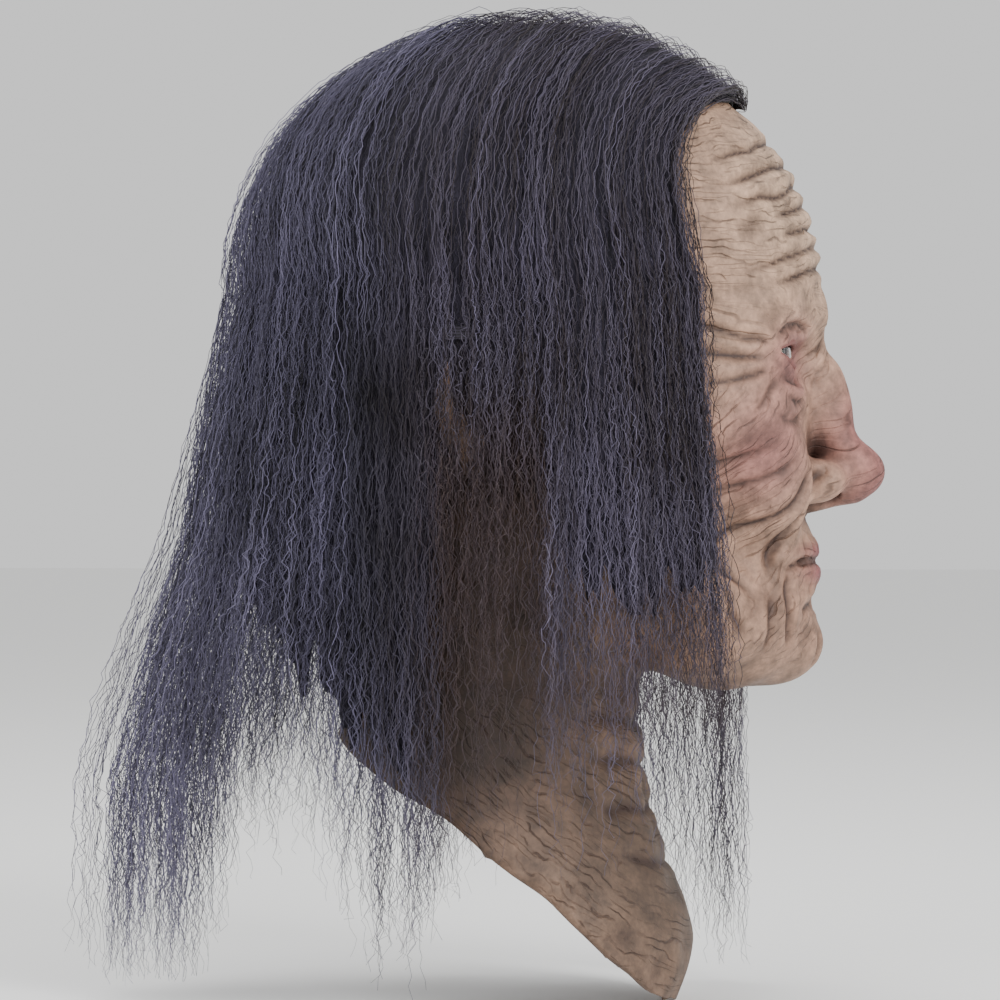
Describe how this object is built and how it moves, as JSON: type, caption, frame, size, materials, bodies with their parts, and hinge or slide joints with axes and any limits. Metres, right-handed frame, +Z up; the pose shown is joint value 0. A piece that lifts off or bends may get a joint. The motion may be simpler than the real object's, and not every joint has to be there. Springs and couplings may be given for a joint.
{
  "type": "latex halloween mask",
  "caption": "Full-head latex costume mask of a wrinkled old woman, with a pointed neck bib, fixed eyes and long frizzy dark hair sewn to a net cap.",
  "frame": {"origin": "the point inside the crown that the top of the wearer's head bears on, under the crown pad", "axes": "+Z up; the face looks along -Y; the wearer's right is -X"},
  "size_m": [0.1974, 0.31, 0.3788],
  "materials": {
    "latex": "matt cast latex, airbrushed tan with rose and brown washes",
    "hair": "crimped dark violet-grey synthetic crepe hair",
    "wig_net": "fine dark net",
    "weft_binding": "sewn weft edge",
    "eye_white": "glossy, veined by hand",
    "iris": "printed pale blue",
    "cornea": "clear",
    "retainer": "moulded ring",
    "foam": "open-cell foam",
    "tape": "woven cotton tape"
  },
  "bodies": {
    "root": {"latex_skin": "latex", "eye_cap_right": "eye_white", "iris_disc_right": "iris", "cornea_dome_right": "cornea", "eye_retainer_right": "retainer", "eye_cap_left": "eye_white", "iris_disc_left": "iris", "cornea_dome_left": "cornea", "eye_retainer_left": "retainer", "crown_pad": "foam", "forehead_pad": "foam", "slit_tape_right": "tape", "slit_tape_left": "tape", "wig_cap": "wig_net", "weft_track_1": "weft_binding", "weft_track_2": "weft_binding", "weft_track_3": "weft_binding", "weft_track_4": "weft_binding", "nape_track_1_right": "weft_binding", "nape_track_1_left": "weft_binding", "nape_track_2_right": "weft_binding", "nape_track_2_left": "weft_binding", "nape_track_3_right": "weft_binding", "nape_track_3_left": "weft_binding", "hair_crown": "hair", "hair_front_right": "hair", "hair_side_right": "hair", "hair_back_right": "hair", "hair_front_left": "hair", "hair_side_left": "hair", "hair_back_left": "hair"}
  },
  "joints": []
}
